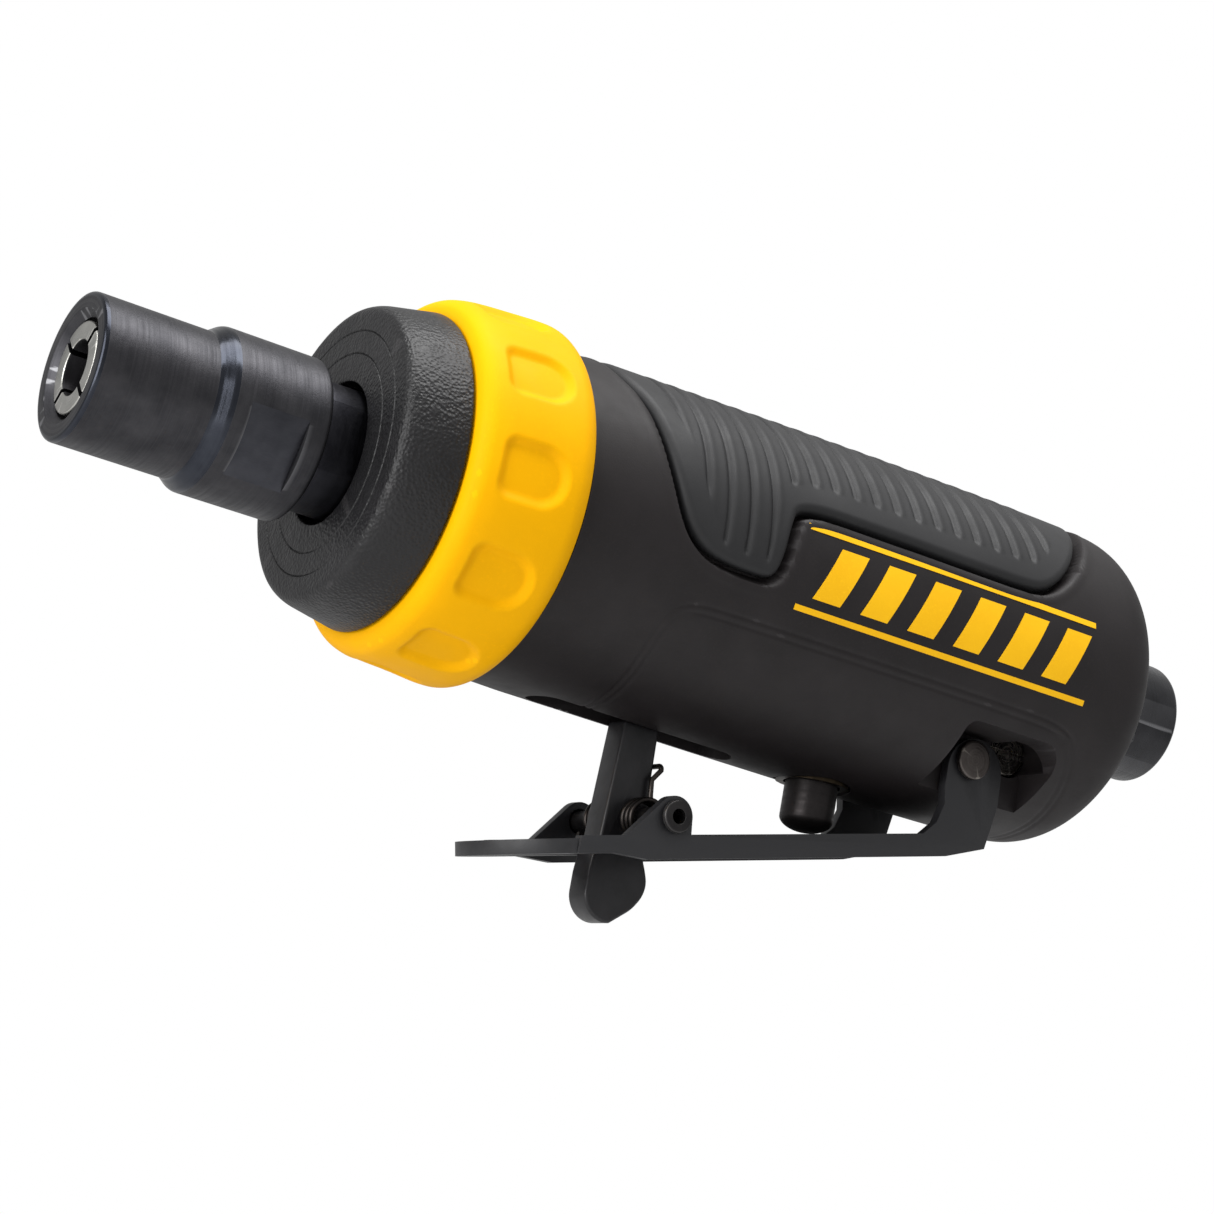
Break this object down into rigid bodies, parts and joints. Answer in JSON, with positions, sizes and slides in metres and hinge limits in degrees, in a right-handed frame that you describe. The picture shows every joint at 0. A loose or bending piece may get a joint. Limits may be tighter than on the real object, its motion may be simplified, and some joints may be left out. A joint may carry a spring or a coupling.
{
  "type": "die grinder",
  "caption": "Pneumatic die grinder: round black handle with a ribbed grip pad, yellow exhaust ring, collet nut and paddle throttle lever with a lock-off latch.",
  "frame": {"origin": "centre of the tool's bounding box, in the mid plane", "axes": "+X along the tool's axis from the collet nut to the air inlet, +Z away from the throttle lever, Y across"},
  "size_m": [0.1686, 0.0476, 0.0712],
  "materials": {
    "black_composite": "satin moulded",
    "black_rubber": "satin, grooved",
    "textured_black": "fine leather grain",
    "yellow_plastic": "satin moulded",
    "felt": "pressed felt",
    "seal_rubber": "matte",
    "end_plate_iron": "machined",
    "ground_steel": "ground",
    "bearing_steel": "polished",
    "blackened_steel": "blackened, turned",
    "black_sheet_steel": "black oxide",
    "oiled_steel": "oiled, worn",
    "brass": "machined",
    "vane_resin": "laminated resin"
  },
  "bodies": {
    "housing": {"body_housing": "black_composite", "grip_pad": "black_rubber", "nose_cap": "textured_black", "exhaust_silencer": "felt", "deflector_o_ring": "seal_rubber", "front_end_plate": "end_plate_iron", "rear_end_plate": "end_plate_iron", "cylinder_liner": "ground_steel", "dowel_pin": "ground_steel", "front_bearing_outer_race": "bearing_steel", "rear_bearing_outer_race": "bearing_steel", "lever_pin": "oiled_steel", "valve_bush": "brass", "valve_spring": "ground_steel", "valve_spring_seat": "brass", "regulator_o_ring": "seal_rubber", "inlet_washer": "ground_steel", "inlet_bushing": "blackened_steel", "inlet_screen": "brass"},
    "deflector": {"deflector_ring": "yellow_plastic"},
    "rotor": {"rotor_shaft": "ground_steel", "vane_1": "vane_resin", "vane_2": "vane_resin", "vane_3": "vane_resin", "vane_4": "vane_resin", "vane_5": "vane_resin", "front_bearing_inner_race": "bearing_steel", "rear_bearing_inner_race": "bearing_steel", "collet_holder": "blackened_steel"},
    "front_balls": {"front_bearing_balls": "bearing_steel"},
    "rear_balls": {"rear_bearing_balls": "bearing_steel"},
    "collet": {"collet": "ground_steel"},
    "nut": {"collet_nut": "blackened_steel"},
    "lever": {"throttle_lever": "black_sheet_steel", "latch_pin": "black_sheet_steel"},
    "latch": {"lock_off_latch": "black_sheet_steel", "latch_spring": "oiled_steel"},
    "plunger": {"throttle_plunger": "blackened_steel"},
    "regulator": {"regulator_spool": "oiled_steel"}
  },
  "joints": [
    {"name": "rotor_spin", "type": "hinge", "parent": "housing", "child": "rotor", "pos_m": [-0.02615, 0, 0.0118], "axis": [1, 0, 0], "continuous": true},
    {"name": "front_balls_roll", "type": "hinge", "parent": "housing", "child": "front_balls", "pos_m": [-0.02615, 0, 0.0118], "axis": [1, 0, 0], "continuous": true},
    {"name": "rear_balls_roll", "type": "hinge", "parent": "housing", "child": "rear_balls", "pos_m": [-0.02615, 0, 0.0118], "axis": [1, 0, 0], "continuous": true},
    {"name": "deflector_turn", "type": "hinge", "parent": "housing", "child": "deflector", "pos_m": [-0.02615, 0, 0.0118], "axis": [1, 0, 0], "continuous": true},
    {"name": "collet_slide", "type": "slide", "parent": "rotor", "child": "collet", "axis": [-1, 0, 0], "range_m": [0, 0.00201]},
    {"name": "nut_turn", "type": "hinge", "parent": "collet", "child": "nut", "pos_m": [-0.02615, 0, 0.0118], "axis": [-1, 0, 0], "range_deg": [0, 720]},
    {"name": "lever_press", "type": "hinge", "parent": "housing", "child": "lever", "pos_m": [0.04545, 0, -0.0037], "axis": [0, 1, 0], "range_deg": [0, 10], "stiffness_Nm_per_rad": 0.5, "springref_deg": -20.05},
    {"name": "latch_fold", "type": "hinge", "parent": "lever", "child": "latch", "pos_m": [0.00075, 0, -0.0219], "axis": [0, 1, 0], "range_deg": [0, 75.01], "deforming": ["latch_spring"]},
    {"name": "plunger_slide", "type": "slide", "parent": "housing", "child": "plunger", "axis": [0, 0, 1], "range_m": [0, 0.00328], "deforming": ["valve_spring"]},
    {"name": "regulator_turn", "type": "hinge", "parent": "housing", "child": "regulator", "pos_m": [0.05335, 0, -0.0008], "axis": [0, 1, 0], "range_deg": [0, 90]}
  ],
  "couplings": [
    {"joint": "front_balls_roll", "follows": "rotor_spin", "ratio": 0.43},
    {"joint": "rear_balls_roll", "follows": "rotor_spin", "ratio": 0.43},
    {"joint": "collet_slide", "follows": "nut_turn", "m_per_rad": 0.00015915},
    {"joint": "latch_fold", "follows": "lever_press", "ratio": 7.5},
    {"joint": "plunger_slide", "follows": "lever_press", "m_per_rad": 0.01875}
  ]
}
